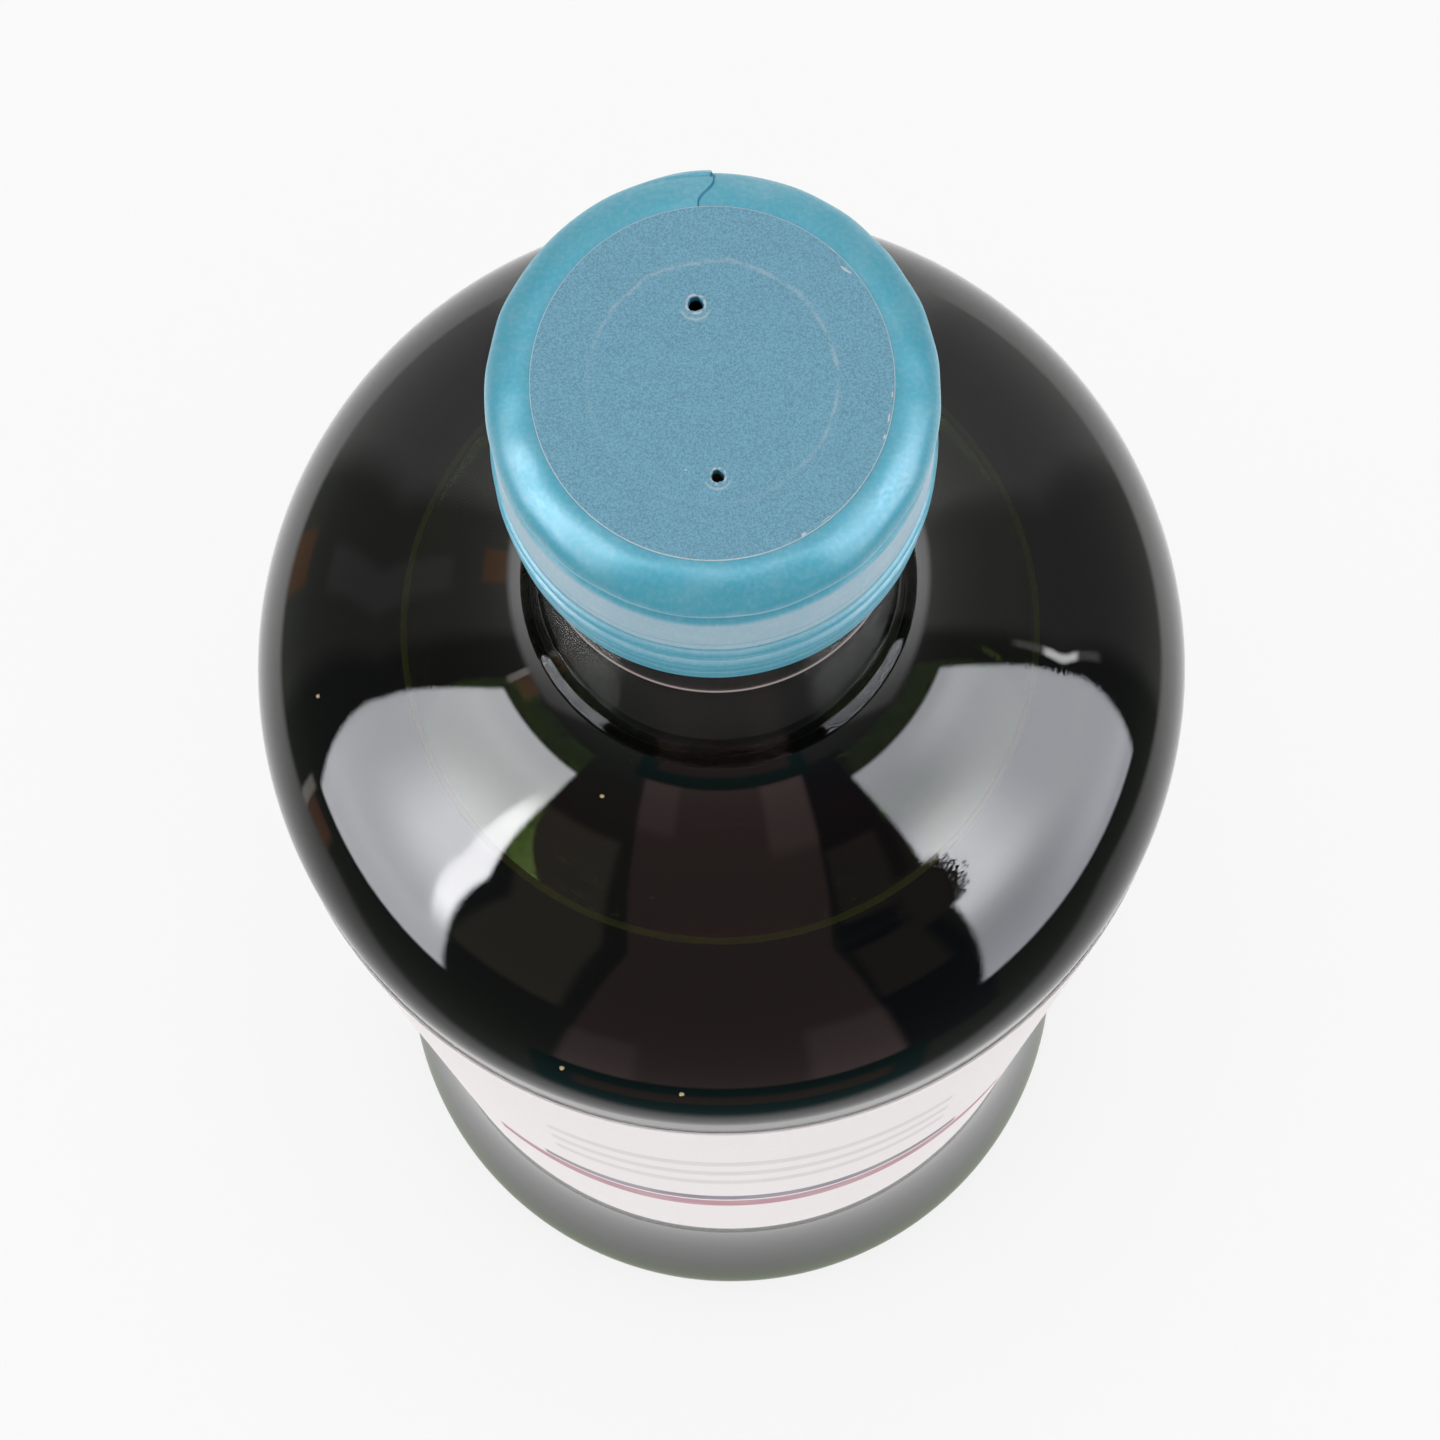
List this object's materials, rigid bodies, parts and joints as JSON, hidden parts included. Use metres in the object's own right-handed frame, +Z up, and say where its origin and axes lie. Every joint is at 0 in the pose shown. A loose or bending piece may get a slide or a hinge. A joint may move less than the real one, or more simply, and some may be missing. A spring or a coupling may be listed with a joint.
{
  "type": "whisky bottle",
  "caption": "Shut dark glass spirits bottle with domed shoulder, waisted body, short capsule and paper label.",
  "frame": {"origin": "middle of the base, on the surface that the bottle stands on", "axes": "+Z up along the bottle's axis, -Y towards the label's front, +Y towards the capsule's seam"},
  "size_m": [0.0828, 0.0828, 0.282],
  "materials": {
    "dark_glass": "gloss",
    "whisky": "clear liquid",
    "capsule_foil": "satin",
    "disc_paper": "matte",
    "label_paper": "matte"
  },
  "bodies": {
    "root": {"glass_bottle": "dark_glass", "whisky": "whisky", "capsule": "capsule_foil", "top_disc": "disc_paper", "label": "label_paper"}
  },
  "joints": []
}
